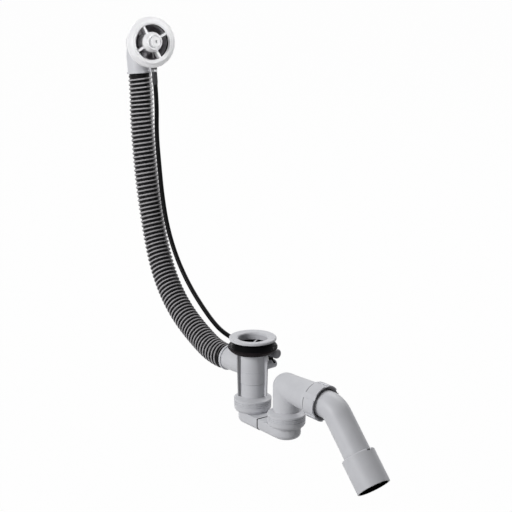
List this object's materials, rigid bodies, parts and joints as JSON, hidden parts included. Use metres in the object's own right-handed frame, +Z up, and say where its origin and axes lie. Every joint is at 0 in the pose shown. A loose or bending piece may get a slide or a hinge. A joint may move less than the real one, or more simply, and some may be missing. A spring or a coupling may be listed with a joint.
{
  "type": "bath waste and overflow",
  "caption": "Pop-up bath waste with a flat swivelling trap and outlet bend, a corrugated overflow hose, and an overflow head whose spindle lifts the plug by cable.",
  "frame": {"origin": "drain axis at the underside of the drain flange, where it rests on the bath", "axes": "+Z up along the drain axis, -X along the drain body's hose inlet"},
  "size_m": [0.6181, 0.1172, 0.6115],
  "materials": {
    "grey_plastic": "satin",
    "white_plastic": "gloss",
    "rubber": "matte",
    "hose_plastic": "satin",
    "black_plastic": "gloss",
    "dark_plastic": "satin",
    "steel": "polished",
    "zinc": "satin"
  },
  "bodies": {
    "root": {"drain_flange": "grey_plastic", "drain_seal": "rubber", "drain_body": "grey_plastic", "shaft_oring": "rubber", "cable_gland": "black_plastic", "overflow_flange": "white_plastic", "drive_carrier": "white_plastic", "overflow_seal": "rubber", "overflow_elbow": "grey_plastic", "cable_nut": "zinc", "cable_ferrule": "dark_plastic", "overflow_hose": "hose_plastic", "hose_inlet_seal": "rubber", "hose_overflow_seal": "rubber", "bowden_cable": "black_plastic"},
    "spindle": {"drive_spindle": "white_plastic", "cable_drum": "white_plastic", "spindle_clip": "steel"},
    "upper_wire": {"overflow_wire": "steel"},
    "lower_wire": {"pull_wire": "steel", "wire_end": "dark_plastic"},
    "lever": {"lift_lever": "grey_plastic", "crank": "black_plastic", "crank_cap": "grey_plastic"},
    "pin": {"lift_pin": "grey_plastic"},
    "trap": {"trap_inlet_nut": "grey_plastic", "trap_inlet_seal": "rubber", "trap_inlet_half": "grey_plastic", "trap_riser_half": "grey_plastic", "riser_nut": "grey_plastic", "riser_seal": "rubber"},
    "elbow": {"riser_elbow": "grey_plastic", "outlet_nut": "grey_plastic", "outlet_seal": "rubber"},
    "bend": {"outlet_bend": "grey_plastic", "reducer_sleeve": "grey_plastic", "reducer_seal": "rubber"}
  },
  "joints": [
    {"name": "spindle_turn", "type": "hinge", "parent": "root", "child": "spindle", "pos_m": [-0.2751, 0.04101, 0.40374], "axis": [-0.9494, 0.2722, -0.1564], "range_deg": [0, 85]},
    {"name": "upper_wire_slide", "type": "slide", "parent": "root", "child": "upper_wire", "axis": [0.1504, -0.0431, -0.9877], "range_m": [0, 0.01575]},
    {"name": "lower_wire_slide", "type": "slide", "parent": "root", "child": "lower_wire", "axis": [1, 0, 0], "range_m": [0, 0.01575]},
    {"name": "lever_turn", "type": "hinge", "parent": "root", "child": "lever", "pos_m": [0.0075, 0, -0.044], "axis": [0, 1, 0], "range_deg": [0, 50.5]},
    {"name": "pin_lift", "type": "slide", "parent": "root", "child": "pin", "axis": [0, 0, 1], "range_m": [0, 0.0072]},
    {"name": "trap_swivel", "type": "hinge", "parent": "root", "child": "trap", "pos_m": [0, 0, -0.1], "axis": [0, 0, 1], "range_deg": [-90, 90]},
    {"name": "elbow_swivel", "type": "hinge", "parent": "trap", "child": "elbow", "pos_m": [0.08197, -0.00934, -0.1], "axis": [0, 0, 1], "range_deg": [-90, 90]},
    {"name": "bend_swivel", "type": "hinge", "parent": "elbow", "child": "bend", "pos_m": [0.14183, -0.00923, -0.05458], "axis": [-0.9977, -0.0017, 0.068], "range_deg": [-90, 90]}
  ],
  "couplings": [
    {"joint": "upper_wire_slide", "follows": "spindle_turn", "m_per_rad": 0.010483},
    {"joint": "lower_wire_slide", "follows": "spindle_turn", "m_per_rad": 0.010483},
    {"joint": "lever_turn", "follows": "spindle_turn", "ratio": 0.58824},
    {"joint": "pin_lift", "follows": "spindle_turn", "m_per_rad": 0.0047148}
  ]
}
